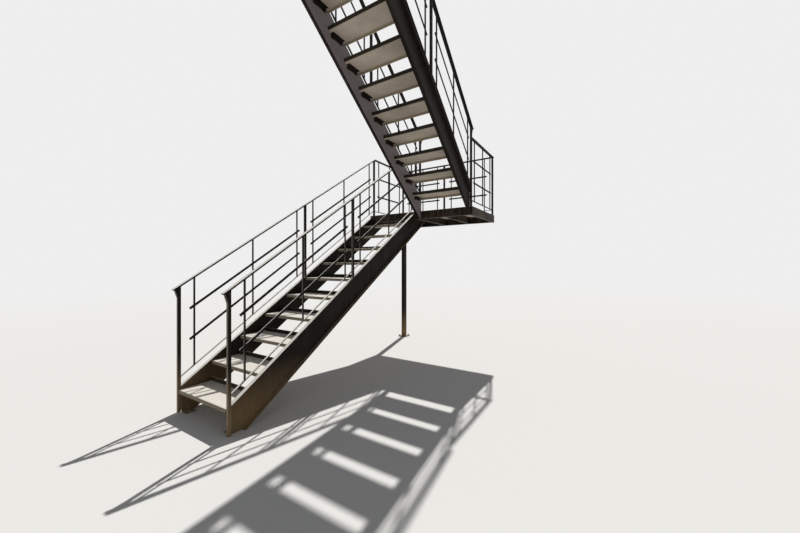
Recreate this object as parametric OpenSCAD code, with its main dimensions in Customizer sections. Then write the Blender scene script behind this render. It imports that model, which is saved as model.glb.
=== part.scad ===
// Outdoor steel stair of two flights that turn back on each other at a landing.
// Plan frame used below: X across the lower flight from its centre line, Y along the
// direction in which the lower flight climbs from its first nosing, Z up from the ground.
// The finished part is shifted so that its origin lies on the landing's bolted side.

/* [Widths] */
// Clear width between the stringer webs of each flight
stair_w = 712; // [600:2:900]
// Clearance between the stringer toes of the two flights
flight_gap = 68; // [2:1:120]

/* [Lower flight] */
// Number of treads below the landing
lower_treads = 10; // [6:1:12]
// Height of each step
lower_rise = 182.5; // [160:0.5:200]
// Going of each step
lower_run = 279.4; // [250:0.1:300]
// Height of the first tread above the ground
first_rise = 200; // [170:1:210]
// Distance of the stringers' plumb end behind the first nosing
lower_foot = 25; // [10:1:60]

/* [Upper flight] */
// Number of treads above the landing
upper_treads = 10; // [6:1:12]
// Height of each step
upper_rise = 182.5; // [160:0.5:200]
// Going of each step
upper_run = 228.6; // [220:0.1:280]
// Distance of the first nosing behind the landing's front face, where the stringers end
upper_start = 0; // [-20:1:30]

/* [Stringers] */
// Depth of the stringer channel
stringer_d = 254; // [220:1:300]
// Width of the stringer flanges
stringer_flange = 38; // [34:1:75]
// Thickness of the stringer web
stringer_web = 5; // [4:0.5:9]
// Thickness of the stringer flange at its toe
stringer_toe = 6; // [5:0.5:10]
// Height of the stringer's top edge above the nosing line, measured plumb
stringer_up = 11; // [4:1:40]

/* [Treads] */
// Thickness of the bent tread plate
tread_t = 5; // [4:0.5:8]
// Height of the turned-down front edge
tread_nose = 30; // [20:1:40]
// Height of the upstand along the back edge above the tread
tread_lip = 38; // [15:1:45]
// Inner radius of the bends
tread_bend = 4; // [2:0.5:8]
// Gap between a tread's end and the web
tread_gap = 1; // [0.5:0.5:4]
// Leg of the carrier angles under the tread ends
carrier_leg = 38; // [30:1:50]
// Thickness of the carrier angles
carrier_t = 5; // [4:0.5:8]
// Set-back of the carrier angles from the front and back of a tread
carrier_inset = 36; // [30:1:60]

/* [Landing] */
// Depth of the landing from front to rear
landing_depth = 964; // [800:2:1200]
// How far the landing reaches ahead of the last full going
landing_lap = 58; // [20:1:80]
// Side margin of the landing beyond the upper flight
landing_margin = 5; // [2:1:40]
// Thickness of the floor plate
floor_t = 6; // [5:0.5:10]
// Depth of the channels round the landing
frame_d = 101.6; // [90:0.1:130]
// Width of the landing channels' flanges
frame_flange = 40; // [38:1:50]
// Thickness of the landing channels' web
frame_web = 5; // [4:0.5:7]
// Thickness of the landing channels' flange at its toe
frame_toe = 6; // [5:0.5:8]
// Number of joists under the floor plate
joists = 3; // [2:1:5]
// Width of the joist flanges
joist_flange = 35; // [30:1:40]
// Thickness of the joist web and flange toe
joist_web = 4.5; // [4:0.5:6]
// Clearance of the joists' coped ends from the frame's flanges
joist_cope = 2; // [1:0.5:4]
// Radius of the bolt holes in the bolted side of the landing
side_hole_r = 9; // [7:0.5:11]
// Spacing of those holes along the landing
side_bolts_y = 600; // [400:10:700]
// Spacing of those holes up the web
side_bolts_z = 46; // [40:1:50]

/* [Support post] */
// Side of the square post tube
post_w = 63.5; // [50:0.5:80]
// Wall of the post tube
post_wall = 5; // [4:0.5:8]
// Set-back of the post from the landing's outer faces
post_inset = 25; // [10:1:60]
// Side of the square base plate
base_w = 150; // [140:1:200]
// Thickness of the base plate
base_t = 10; // [8:1:16]
// Spacing of the anchor holes in the base plate
base_bolts = 110; // [105:1:120]
// Radius of the anchor holes in the base plate
base_hole_r = 7; // [6:0.5:9]

/* [Railings] */
// Side of the square posts and top rails
rail_w = 25.4; // [20:0.1:32]
// Side of the square mid rails
mid_w = 15.9; // [12:0.1:20]
// Side of the square bottom rails
low_w = 15.9; // [14:0.1:20]
// Side of the thin square upright bars
thin_w = 12.7; // [10:0.1:15]
// Distance of the railing line outside the web's inner face
rail_out = 21; // [18:1:24]
// Steps covered by each railing bay of a flight
bay_steps = 5; // [3:1:6]
// Height of the top rail's centre above the nosing line, measured plumb
rail_top = 873; // [800:1:1000]
// Height of the upper mid rail above the nosing line
rail_upper = 620; // [560:5:700]
// Height of the lower mid rail above the nosing line
rail_lower = 350; // [300:5:440]
// Height of the bottom rail above the nosing line
rail_bottom = 93; // [80:1:160]
// Distance from a post to the thin bar beside it
thin_off = 125; // [100:1:200]
// Length of the mid rails' free ends beyond the thin bars
free_end = 44; // [20:1:60]
// How far a flight's top rail runs ahead of its first post's centre
rail_over = 38; // [30:1:60]
// Length down the post of the gusset under the top rail's lower end
gusset_h = 80; // [50:5:100]
// Thickness of that gusset
gusset_t = 14; // [6:1:20]
// Set-back of the rear railing line from the landing's rear face
landing_rail_in = 22; // [18:1:60]
// Height of the landing railings' upper mid rail above the floor
landing_upper = 610; // [560:5:700]
// Height of the landing railings' lower mid rail above the floor
landing_lower = 325; // [280:5:420]
// Height of the landing railings' bottom rail above the floor
landing_bottom = 80; // [50:5:120]

/* [Fixings] */
// Leg of the foot angles that anchor the lower stringers
clip_leg = 75; // [60:1:90]
// Thickness of the foot angles
clip_t = 8; // [6:1:10]
// Length of the foot angles
clip_l = 80; // [60:1:90]
// Radius of the anchor holes in the foot angles
clip_hole_r = 8; // [6:0.5:9]
// Thickness of the end plates on the upper stringers
end_t = 10; // [8:1:14]
// Spacing of the bolt holes in the end plates
end_bolts = 160; // [120:5:180]
// Radius of the bolt holes in the end plates
end_hole_r = 9; // [7:0.5:11]

/* [Hidden] */

$fn = 32;
// Overrun of cutting solids
over = 1;
// Length that is longer than any cut needs
far = 6000;
// Run over rise of the taper inside a rolled flange
flange_taper = 9;
// Radius of a rolled channel's inner fillets over the thickness of its web
fillet_share = 1.2;

landing_top = first_rise + lower_treads * lower_rise;
landing_under = landing_top - floor_t - frame_d;
landing_front = lower_treads * lower_run - landing_lap;
landing_rear = landing_front + landing_depth;
landing_left = -stair_w / 2 - stringer_flange;
upper_x = stair_w + 2 * stringer_flange + flight_gap;
upper_y = landing_front + upper_start;
landing_right = upper_x + stair_w / 2 + stringer_flange + landing_margin;
landing_w = landing_right - landing_left;

lower_tan = lower_rise / lower_run;
upper_tan = upper_rise / upper_run;
rail_x = stair_w / 2 + rail_out;
lower_post_y = lower_foot - rail_w / 2;
upper_post_y = upper_start - rail_w / 2;
rear_rail_y = landing_rear - landing_rail_in;
last_post_y = lower_post_y + 2 * bay_steps * lower_run;
landing_rail_top = first_rise + (last_post_y + rail_w / 2) * lower_tan + rail_top - landing_top;

// The bolted face of the landing, where the part's origin lies
mount_at = [landing_right, landing_front + landing_depth / 2, landing_top - floor_t - frame_d / 2];

steel = [0.11, 0.09, 0.08];
worn_steel = [0.42, 0.39, 0.36];

function arc(x, y, r, from, to, n = 4) =
    [for (i = [0:n]) let (a = from + (to - from) * i / n) [x + r * cos(a), y + r * sin(a)]];

// Plan frame to the part's own frame
module placed() {
    translate(-mount_at) children();
}

// Frame of the lower flight: origin at its first nosing, climbing along +Y
module on_lower() {
    translate([0, 0, first_rise]) children();
}

// Frame of the upper flight, which climbs the other way
module on_upper() {
    translate([upper_x, upper_y, landing_top + upper_rise]) mirror([0, 1, 0]) children();
}

// One side of a flight, right for side = 1 and left for side = -1
module on_side(side) {
    mirror([side < 0 ? 1 : 0, 0, 0]) children();
}

// Extrudes an outline drawn in Y and Z along X, centred on x = 0
module across(length) {
    translate([-length / 2, 0, 0]) rotate([90, 0, 90]) linear_extrude(length) children();
}

// Rolled channel: web on the y axis, flanges towards +x, tapered towards their toes
module channel_outline(d, b, web, toe) {
    fillet = web * fillet_share;
    root = toe + (b - web) / flange_taper;
    polygon(concat(
        [[0, 0], [b, 0], [b, toe]],
        [for (p = arc(web + fillet, root + fillet, fillet, 270, 180)) p],
        [for (p = arc(web + fillet, d - root - fillet, fillet, 180, 90)) p],
        [[b, d - toe], [b, d], [0, d]]
    ));
}

// Stringer of one flight, trimmed by an outline in Y and Z
module stringer(rise, run, trim) {
    slope = atan(rise / run);
    color(steel)
    intersection() {
        rotate([slope, 0, 0])
        translate([stair_w / 2, far, stringer_up * cos(slope) - stringer_d])
        rotate([90, 0, 0]) linear_extrude(2 * far)
            channel_outline(stringer_d, stringer_flange, stringer_web, stringer_toe);
        translate([stair_w / 2, 0, 0]) across(far) polygon(trim);
    }
}

// Plumb at the foot, level on the ground, and notched under the landing's front
module lower_stringer(side) {
    ground = -first_rise;
    under = landing_under - first_rise;
    placed() on_lower() on_side(side)
        stringer(lower_rise, lower_run, [
            [lower_foot, ground], [lower_foot, far], [landing_front, far],
            [landing_front, under], [far, under], [far, ground]
        ]);
}

// Plumb against the landing's front face, level with its underside, and plumb at the top
module upper_stringer(side) {
    under = landing_under - landing_top - upper_rise;
    top_end = upper_treads * upper_run;
    placed() on_upper() on_side(side)
        stringer(upper_rise, upper_run, [
            [upper_start, under], [upper_start, far], [top_end, far], [top_end, under]
        ]);
}

// Bent plate: front edge turned down, back edge turned up
module tread(depth) {
    outer = tread_bend + tread_t;
    length = stair_w - 2 * tread_gap;
    color(worn_steel)
    across(length) polygon(concat(
        [[tread_t, -tread_nose], [0, -tread_nose]],
        arc(outer, -outer, outer, 180, 90),
        arc(depth - tread_t - tread_bend, tread_bend, tread_bend, 270, 360),
        [[depth - tread_t, tread_lip], [depth, tread_lip]],
        arc(depth - outer, outer - tread_t, outer, 360, 270),
        arc(tread_t + tread_bend, -tread_t - tread_bend, tread_bend, 90, 180)
    ));
}

module lower_tread(number) {
    step = number - 1;
    if (step < lower_treads)
        placed() on_lower() translate([0, step * lower_run, step * lower_rise]) tread(lower_run);
}

module upper_tread(number) {
    step = number - 1;
    if (step < upper_treads)
        placed() on_upper() translate([0, step * upper_run, step * upper_rise]) tread(upper_run);
}

// Angle with both legs equal, its corner on the x axis, one leg along y and one down
module angle_outline(leg, t) {
    polygon([[0, 0], [-leg, 0], [-leg, -t], [-t, -t], [-t, -leg], [0, -leg]]);
}

// Angles welded to the web, one under each tread's end
module carriers(count, rise, run) {
    length = run - 2 * carrier_inset;
    color(steel)
    for (step = [0:count - 1])
        translate([stair_w / 2, step * run + carrier_inset + length, step * rise - tread_t])
        rotate([90, 0, 0]) linear_extrude(length) angle_outline(carrier_leg, carrier_t);
}

module lower_carriers(side) {
    placed() on_lower() on_side(side) carriers(lower_treads, lower_rise, lower_run);
}

module upper_carriers(side) {
    placed() on_upper() on_side(side) carriers(upper_treads, upper_rise, upper_run);
}

// Landing channel along +X, outer face on y = 0, mitred at both corners
module mitred_channel(length) {
    color(steel)
    intersection() {
        translate([0, 0, -frame_d]) rotate([90, 0, 90]) linear_extrude(length)
            channel_outline(frame_d, frame_flange, frame_web, frame_toe);
        translate([0, 0, -frame_d]) linear_extrude(frame_d) polygon([
            [0, 0], [length, 0], [length - frame_flange, frame_flange], [frame_flange, frame_flange]
        ]);
    }
}

// Corner of the landing frame, at the underside of the floor plate
module at_corner(x, y, turn) {
    placed() translate([x, y, landing_top - floor_t]) rotate([0, 0, turn]) children();
}

module landing_header() {
    at_corner(landing_left, landing_front, 0) mitred_channel(landing_w);
}

module landing_rear_channel() {
    at_corner(landing_right, landing_rear, 180) mitred_channel(landing_w);
}

module landing_left_channel() {
    at_corner(landing_left, landing_rear, 270) mitred_channel(landing_depth);
}

module landing_right_channel() {
    color(steel)
    difference() {
        at_corner(landing_right, landing_front, 90) mitred_channel(landing_depth);
        for (y = [-1, 1], z = [-1, 1])
            translate([-frame_web - over, y * side_bolts_y / 2, z * side_bolts_z / 2])
            rotate([0, 90, 0]) cylinder(r = side_hole_r, h = frame_web + 2 * over);
    }
}

// Channels as deep as the frame, coped between its flanges at both ends
module landing_joists() {
    span = landing_depth - 2 * frame_web;
    pitch = landing_w / (joists + 1);
    cope_l = frame_flange - frame_web + joist_cope;
    cope_d = frame_toe + (frame_flange - frame_web) / flange_taper + joist_cope;
    placed() color(steel)
    for (i = [1:joists])
        translate([landing_left + i * pitch, landing_front + frame_web, landing_top - floor_t - frame_d])
        difference() {
            translate([0, span, 0]) rotate([90, 0, 0]) linear_extrude(span)
                channel_outline(frame_d, joist_flange, joist_web, joist_web);
            for (y = [-over, span - cope_l], z = [-over, frame_d - cope_d])
                translate([-over, y, z]) cube([joist_flange + 2 * over, cope_l + over, cope_d + over]);
        }
}

module landing_floor() {
    placed() color(worn_steel)
    translate([landing_left, landing_front, landing_top - floor_t]) cube([landing_w, landing_depth, floor_t]);
}

// Centre of the support post, under the far corner of the landing
module at_post() {
    inset = post_inset + post_w / 2;
    placed() translate([landing_left + inset, landing_rear - inset, 0]) children();
}

module landing_post() {
    height = landing_under - base_t;
    inner = post_w - 2 * post_wall;
    at_post() color(steel)
    difference() {
        translate([-post_w / 2, -post_w / 2, base_t]) cube([post_w, post_w, height]);
        translate([-inner / 2, -inner / 2, base_t - over]) cube([inner, inner, height + 2 * over]);
    }
}

module landing_post_base() {
    at_post() color(steel)
    difference() {
        translate([-base_w / 2, -base_w / 2, 0]) cube([base_w, base_w, base_t]);
        for (x = [-1, 1], y = [-1, 1])
            translate([x * base_bolts / 2, y * base_bolts / 2, -over])
            cylinder(r = base_hole_r, h = base_t + 2 * over);
    }
}

// Square bar parallel to a flight, from y0 to y1, at a plumb height above the nosing line
module sloped_bar(rise, run, y0, y1, height, size) {
    slope = atan(rise / run);
    rotate([slope, 0, 0])
    translate([-size / 2, y0 / cos(slope) + height * sin(slope), height * cos(slope) - size / 2])
        cube([size, (y1 - y0) / cos(slope), size]);
}

// Outline of a railing post in Y and Z, from its base up to the top rail's centre.
// With no base given it stands on the stringer and is cut to the stringer's slope.
module post_outline(rise, run, y, base) {
    slope_tan = rise / run;
    near = y - rail_w / 2;
    next = y + rail_w / 2;
    top = y * slope_tan + rail_top;
    polygon([
        [near, is_undef(base) ? near * slope_tan + stringer_up : base],
        [next, is_undef(base) ? next * slope_tan + stringer_up : base],
        [next, top], [near, top]
    ]);
}

// Outline of a flight's top rail: square at its lower end, plumb at its upper end
module top_rail_outline(rise, run, y0, y1) {
    slope = atan(rise / run);
    start = [y0, y0 * tan(slope) + rail_top];
    square_half = [-sin(slope), cos(slope)] * rail_w / 2;
    plumb_half = [0, rail_w / 2 / cos(slope)];
    end = [y1, y1 * tan(slope) + rail_top];
    polygon([start - square_half, end - plumb_half, end + plumb_half, start + square_half]);
}

// Thin square upright bar, standing on its base's centre
module thin_bar(height) {
    translate([-thin_w / 2, -thin_w / 2, 0]) cube([thin_w, thin_w, height]);
}

// Outline of the gusset between a flight's first post and its top rail's lower end
module gusset_outline(rise, run, y0) {
    slope_tan = rise / run;
    tip = y0 - rail_over + gusset_t / 2;
    polygon([
        [y0, y0 * slope_tan + rail_top], [tip, tip * slope_tan + rail_top],
        [y0 - rail_w / 2, y0 * slope_tan + rail_top - gusset_h], [y0, y0 * slope_tan + rail_top - gusset_h]
    ]);
}

// Rails of one bay of a flight, from post to post
module flight_bay(rise, run, y0, y1) {
    slope_tan = rise / run;
    first = y0 + thin_off;
    last = y1 - thin_off;
    for (height = [rail_lower, rail_upper])
        sloped_bar(rise, run, first - free_end, last + free_end, height, mid_w);
    for (y = [first, (y0 + y1) / 2, last])
        translate([0, y, y * slope_tan + rail_bottom]) thin_bar(rail_top - rail_bottom);
    sloped_bar(rise, run, y0, y1, rail_bottom, low_w);
}

// Railing of one side of a flight: two bays between three posts
module flight_railing(rise, run, y0, foot_base, top_base) {
    bay = bay_steps * run;
    color(steel)
    translate([rail_x, 0, 0]) {
        across(rail_w) {
            post_outline(rise, run, y0, foot_base);
            post_outline(rise, run, y0 + bay);
            post_outline(rise, run, y0 + 2 * bay, top_base);
            top_rail_outline(rise, run, y0 - rail_over, y0 + 2 * bay + rail_w / 2);
        }
        across(gusset_t) gusset_outline(rise, run, y0);
        for (i = [0, 1])
            flight_bay(rise, run, y0 + i * bay, y0 + (i + 1) * bay);
    }
}

module lower_railing(side) {
    placed() on_lower() on_side(side)
        flight_railing(lower_rise, lower_run, lower_post_y, -first_rise, landing_top - first_rise);
}

module upper_railing(side) {
    placed() on_upper() on_side(side)
        flight_railing(upper_rise, upper_run, upper_post_y, -upper_rise);
}

// Mid rails, bottom rail and thin bars of a level bay along +X, length between its posts' faces
module level_bay(length) {
    first = thin_off - rail_w / 2;
    last = length - first;
    color(steel) {
        translate([0, -low_w / 2, landing_bottom - low_w / 2]) cube([length, low_w, low_w]);
        for (height = [landing_lower, landing_upper])
            translate([first - free_end, -mid_w / 2, height - mid_w / 2])
            cube([last - first + 2 * free_end, mid_w, mid_w]);
        for (x = [first, length / 2, last])
            translate([x, 0, landing_bottom]) thin_bar(landing_rail_top - landing_bottom);
    }
}

// Upright square bars and a top rail in one plane, drawn in X and Z
module level_frame(length, posts) {
    color(steel)
    translate([0, rail_w / 2, 0]) rotate([90, 0, 0]) linear_extrude(rail_w) {
        translate([0, landing_rail_top - rail_w / 2]) square([length, rail_w]);
        for (x = posts)
            translate([x, 0]) square([rail_w, landing_rail_top]);
    }
}

// Side railing of the landing, between a flight's post and the corner post
module side_bay(x, post_y) {
    length = rear_rail_y - post_y - rail_w;
    placed() translate([x, post_y + rail_w / 2, landing_top]) rotate([0, 0, 90]) {
        level_frame(length, []);
        level_bay(length);
    }
}

module landing_railing_left() {
    side_bay(-rail_x, last_post_y);
}

module landing_railing_right() {
    side_bay(upper_x + rail_x, upper_y - upper_post_y);
}

// Rear railing with its corner posts and a middle post
module landing_railing_rear() {
    left = -rail_x - rail_w / 2;
    right = upper_x + rail_x + rail_w / 2;
    bay = (right - left - rail_w) / 2;
    placed() translate([left, rear_rail_y, landing_top]) {
        level_frame(right - left, [0, bay, 2 * bay]);
        for (i = [0, 1])
            translate([i * bay + rail_w, 0, 0]) level_bay(bay - rail_w);
    }
}

// Angles that anchor the lower stringers to the ground
module foot_angles() {
    placed() for (side = [-1, 1]) on_side(side)
        color(steel)
        translate([stair_w / 2, lower_foot, 0])
        difference() {
            translate([0, clip_l, 0]) rotate([90, 0, 0]) linear_extrude(clip_l)
                mirror([0, 1]) angle_outline(clip_leg, clip_t);
            translate([-(clip_leg + clip_t) / 2, clip_l / 2, -over])
                cylinder(r = clip_hole_r, h = clip_t + 2 * over);
        }
}

// Plates on the plumb top ends of the upper stringers
module upper_end_plates() {
    slope = atan(upper_tan);
    depth = stringer_d / cos(slope);
    end_y = upper_treads * upper_run;
    top = end_y * upper_tan + stringer_up;
    placed() on_upper() for (side = [-1, 1]) on_side(side)
        color(steel)
        difference() {
            translate([stair_w / 2, end_y, top - depth]) cube([stringer_flange, end_t, depth]);
            for (z = [-1, 1])
                translate([rail_x, end_y - over, top - depth / 2 + z * end_bolts / 2])
                rotate([-90, 0, 0]) cylinder(r = end_hole_r, h = end_t + 2 * over);
        }
}

lower_stringer(-1);  // lower_stringer_left
lower_stringer(1);  // lower_stringer_right
upper_stringer(-1);  // upper_stringer_left
upper_stringer(1);  // upper_stringer_right
lower_tread(1);  // lower_tread_01
lower_tread(2);  // lower_tread_02
lower_tread(3);  // lower_tread_03
lower_tread(4);  // lower_tread_04
lower_tread(5);  // lower_tread_05
lower_tread(6);  // lower_tread_06
lower_tread(7);  // lower_tread_07
lower_tread(8);  // lower_tread_08
lower_tread(9);  // lower_tread_09
lower_tread(10);  // lower_tread_10
upper_tread(1);  // upper_tread_01
upper_tread(2);  // upper_tread_02
upper_tread(3);  // upper_tread_03
upper_tread(4);  // upper_tread_04
upper_tread(5);  // upper_tread_05
upper_tread(6);  // upper_tread_06
upper_tread(7);  // upper_tread_07
upper_tread(8);  // upper_tread_08
upper_tread(9);  // upper_tread_09
upper_tread(10);  // upper_tread_10
lower_carriers(-1);  // lower_carriers_left
lower_carriers(1);  // lower_carriers_right
upper_carriers(-1);  // upper_carriers_left
upper_carriers(1);  // upper_carriers_right
landing_header();
landing_rear_channel();
landing_left_channel();
landing_right_channel();
landing_joists();
landing_floor();
landing_post();
landing_post_base();
lower_railing(-1);  // lower_railing_left
lower_railing(1);  // lower_railing_right
upper_railing(-1);  // upper_railing_left
upper_railing(1);  // upper_railing_right
landing_railing_left();
landing_railing_rear();
landing_railing_right();
foot_angles();
upper_end_plates();
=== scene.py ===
"""Finishes, fastenings and studio for an outdoor steel escape stair."""

import logging
import math
from collections.abc import Callable, Iterable
from dataclasses import dataclass, field
from enum import Enum

import bpy
from mathutils import Matrix, Vector

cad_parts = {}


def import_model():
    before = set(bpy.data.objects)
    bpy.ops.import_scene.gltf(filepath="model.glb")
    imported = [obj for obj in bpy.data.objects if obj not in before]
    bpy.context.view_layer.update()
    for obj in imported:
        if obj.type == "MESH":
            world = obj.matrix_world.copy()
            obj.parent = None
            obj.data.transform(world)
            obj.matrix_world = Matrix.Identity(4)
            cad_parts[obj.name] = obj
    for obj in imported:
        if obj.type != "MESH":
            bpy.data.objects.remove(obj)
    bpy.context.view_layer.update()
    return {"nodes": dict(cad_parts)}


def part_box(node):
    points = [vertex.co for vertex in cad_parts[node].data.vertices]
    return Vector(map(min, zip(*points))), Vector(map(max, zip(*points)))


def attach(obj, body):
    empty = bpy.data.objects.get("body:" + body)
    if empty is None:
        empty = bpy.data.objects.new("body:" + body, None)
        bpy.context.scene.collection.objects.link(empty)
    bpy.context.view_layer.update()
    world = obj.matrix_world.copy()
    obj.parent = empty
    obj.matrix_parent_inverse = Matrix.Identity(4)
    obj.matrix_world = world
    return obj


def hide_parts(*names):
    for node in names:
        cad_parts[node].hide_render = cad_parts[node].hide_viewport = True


log = logging.getLogger("escape_stair")

PHOTO_WIDTH = 800
SENSOR_MM = 36.0
QUARTER = math.pi / 2
SIDES = (-1, 1)
RING = ((-1, -1), (1, -1), (1, 1), (-1, 1))

Colour = tuple[float, float, float]
Piece = bpy.types.Object
Run = tuple[Vector, Vector]
Socket = bpy.types.NodeSocket
Span = tuple[float, ...]


class Slot(Enum):
    """The finishes; those of the record keep its slots' names."""

    FRAME = "frame_paint"
    LOWER = "lower_stringer_paint"
    UPPER = "upper_stringer_paint"
    LANDING = "landing_paint"
    RAIL = "rail_paint"
    TREAD = "tread_paint"
    ZINC = "zinc_plate"


@dataclass(frozen=True)
class Viewpoint:
    """The photograph's camera, from straight edges of the lower flight.

    The place is given from the ground below the centre of the lower flight's first nosing.
    """

    place: tuple[float, float, float] = (2.746, -1.378, 1.266)
    turn_deg: float = 32.25
    focal_px: float = 330.96
    horizon_px: float = 1.7
    clip: tuple[float, float] = (0.05, 100.0)

    def build(self, ground_origin: Vector) -> Piece:
        """Makes the scene's camera.

        Args:
            ground_origin: point on the ground below the first nosing, in the row frame.

        Returns:
            The camera object.
        """
        data = bpy.data.cameras.new("photo_camera")
        data.sensor_width = SENSOR_MM
        data.lens = self.focal_px / PHOTO_WIDTH * SENSOR_MM
        data.shift_y = -self.horizon_px / PHOTO_WIDTH
        data.clip_start, data.clip_end = self.clip
        camera = bpy.data.objects.new("photo_camera", data)
        bpy.context.scene.collection.objects.link(camera)
        camera.location = ground_origin + Vector(self.place)
        camera.rotation_euler = (QUARTER, 0.0, math.radians(self.turn_deg))
        bpy.context.scene.camera = camera
        return camera


class Bench:
    """Modelling with operators, one piece at a time."""

    @staticmethod
    def clear() -> None:
        """Deselects every object, because an operator acts on all that is selected."""
        for obj in bpy.context.selected_objects:
            obj.select_set(False)

    @staticmethod
    def take(obj: Piece) -> None:
        """Makes an object the only selected one."""
        Bench.clear()
        obj.select_set(True)
        bpy.context.view_layer.objects.active = obj

    @staticmethod
    def edit(obj: Piece, chosen: Callable[[Vector], bool] = lambda place: True) -> None:
        """Opens an object in edit mode with some of its points selected, and what lies between them.

        Args:
            obj: mesh object.
            chosen: says of a point's place whether it is selected.
        """
        Bench.take(obj)
        bpy.context.tool_settings.mesh_select_mode = (True, False, False)
        for part in (obj.data.edges, obj.data.polygons):
            for element in part:
                element.select = False
        for point in obj.data.vertices:
            point.select = chosen(point.co)
        bpy.ops.object.mode_set(mode="EDIT")

    @staticmethod
    def done() -> None:
        """Leaves edit mode."""
        bpy.ops.object.mode_set(mode="OBJECT")

    @staticmethod
    def close() -> None:
        """Turns all faces outwards and leaves edit mode."""
        bpy.ops.mesh.select_all(action="SELECT")
        bpy.ops.mesh.normals_make_consistent(inside=False)
        Bench.done()

    @staticmethod
    def trim(bar: Piece, point: Vector, outward: Vector) -> None:
        """Saws a bar along a plane and closes the cut.

        Args:
            bar: the bar.
            point: a point of the plane.
            outward: the side that falls away.
        """
        Bench.edit(bar)
        bpy.ops.mesh.bisect(plane_co=point, plane_no=outward, use_fill=True, clear_outer=True)
        Bench.done()

    @staticmethod
    def settle(obj: Piece) -> Piece:
        """Puts an object's place, turn and scale into its mesh, and gives it back at the origin."""
        Bench.take(obj)
        bpy.ops.object.transform_apply(location=True, rotation=True, scale=True)
        return obj

    @staticmethod
    def join(parts: list[Piece], name: str) -> Piece:
        """Joins mesh objects into one.

        Args:
            parts: the objects, of which the first stays.
            name: name of the joined object.

        Returns:
            The joined object.
        """
        Bench.take(parts[0])
        for part in parts[1:]:
            part.select_set(True)
        if len(parts) > 1:
            bpy.ops.object.join()
        parts[0].name = name
        parts[0].data.name = name
        return parts[0]

    @staticmethod
    def copies(master: Piece, places: Iterable[Matrix]) -> list[Piece]:
        """Copies a piece to several places, each copy with its own mesh.

        Args:
            master: the piece, modelled round its own origin.
            places: one matrix for each copy.

        Returns:
            The copies.
        """
        made = []
        for place in places:
            mesh = master.data.copy()
            mesh.transform(place)
            twin = bpy.data.objects.new(master.name, mesh)
            bpy.context.scene.collection.objects.link(twin)
            made.append(twin)
        return made

    @staticmethod
    def drop(obj: Piece) -> None:
        """Deletes a master once its copies are made."""
        mesh = obj.data
        bpy.data.objects.remove(obj)
        bpy.data.meshes.remove(mesh)


class Nodes:
    """Short ways to the shader nodes that the finishes and the studio share."""

    def __init__(self, owner: bpy.types.Material | bpy.types.World) -> None:
        """Starts an empty node tree.

        Args:
            owner: the material or world that the nodes belong to.
        """
        owner.use_nodes = True
        self.tree = owner.node_tree
        self.tree.nodes.clear()

    def put(self, socket: Socket, value: object) -> None:
        """Links a socket to another one, or sets its value."""
        if isinstance(value, Socket):
            self.tree.links.new(value, socket)
        else:
            socket.default_value = value

    def node(self, kind: str, **inputs: object) -> bpy.types.Node:
        """Adds a node and sets or links its inputs.

        Args:
            kind: the node's type name.
            inputs: value or socket for each input, by its name in lower case with underscores.

        Returns:
            The node.
        """
        made = self.tree.nodes.new(kind)
        for key, value in inputs.items():
            self.put(next(s for s in made.inputs if s.name.lower().replace(" ", "_") == key), value)
        return made

    def split(self, vector: Socket) -> bpy.types.NodeOutputs:
        """Gives the X, Y and Z parts of a vector."""
        return self.node("ShaderNodeSeparateXYZ", vector=vector).outputs

    def noise(self, place: Socket, scale: float, detail: float) -> Socket:
        """Adds a noise pattern and returns its value."""
        return self.node("ShaderNodeTexNoise", vector=place, scale=scale, detail=detail).outputs[0]

    def span(self, value: Socket, low: float, high: float, start: float = 0.0, end: float = 1.0) -> Socket:
        """Maps low..high of a value to start..end, held beyond both ends."""
        made = self.node("ShaderNodeMapRange", value=value, from_min=low, from_max=high,
                         to_min=start, to_max=end)
        made.clamp = True
        return made.outputs[0]

    def math(self, operation: str, *values: Socket | float) -> Socket:
        """Adds a Math node.

        Args:
            operation: what it works out.
            values: a number or a socket for each of its inputs.

        Returns:
            The result.
        """
        made = self.tree.nodes.new("ShaderNodeMath")
        made.operation = operation
        for socket, value in zip(made.inputs, values):
            self.put(socket, value)
        return made.outputs[0]

    def times(self, product: Socket, *factors: Socket | float) -> Socket:
        """Multiplies a value by others."""
        for factor in factors:
            product = self.math("MULTIPLY", product, factor)
        return product

    def mixed_value(self, a: Socket, b: Socket, share: float) -> Socket:
        """Blends two values by a fixed share of the second."""
        return self.node("ShaderNodeMix", factor=share, a=a, b=b).outputs[0]

    def mix(self, share: Socket, a: Socket | Colour, b: Socket | Colour) -> Socket:
        """Blends two colours, each a socket or a linear colour.

        Args:
            share: share of the second colour.
            a: first colour.
            b: second colour.

        Returns:
            The blend.
        """
        made = self.tree.nodes.new("ShaderNodeMix")
        made.data_type = "RGBA"
        self.put(made.inputs[0], share)
        for name, value in (("A_Color", a), ("B_Color", b)):
            socket = next(s for s in made.inputs if s.identifier == name)
            self.put(socket, value if isinstance(value, Socket) else (*value, 1.0))
        return next(s for s in made.outputs if s.identifier == "Result_Color")

    def blend(self, share: Socket, a: Socket, b: Socket) -> Socket:
        """Blends two shaders.

        Args:
            share: share of the second shader.
            a: first shader.
            b: second shader.

        Returns:
            The blend.
        """
        made = self.tree.nodes.new("ShaderNodeMixShader")
        for socket, value in zip(made.inputs, (share, a, b)):
            self.put(socket, value)
        return made.outputs[0]

    def seen(self) -> Socket:
        """Gives 1 for camera, glossy and transmission rays, and 0 for all others."""
        rays = self.node("ShaderNodeLightPath").outputs
        either = self.math("MAXIMUM", rays["Is Camera Ray"], rays["Is Glossy Ray"])
        return self.math("MAXIMUM", either, rays["Is Transmission Ray"])


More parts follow.
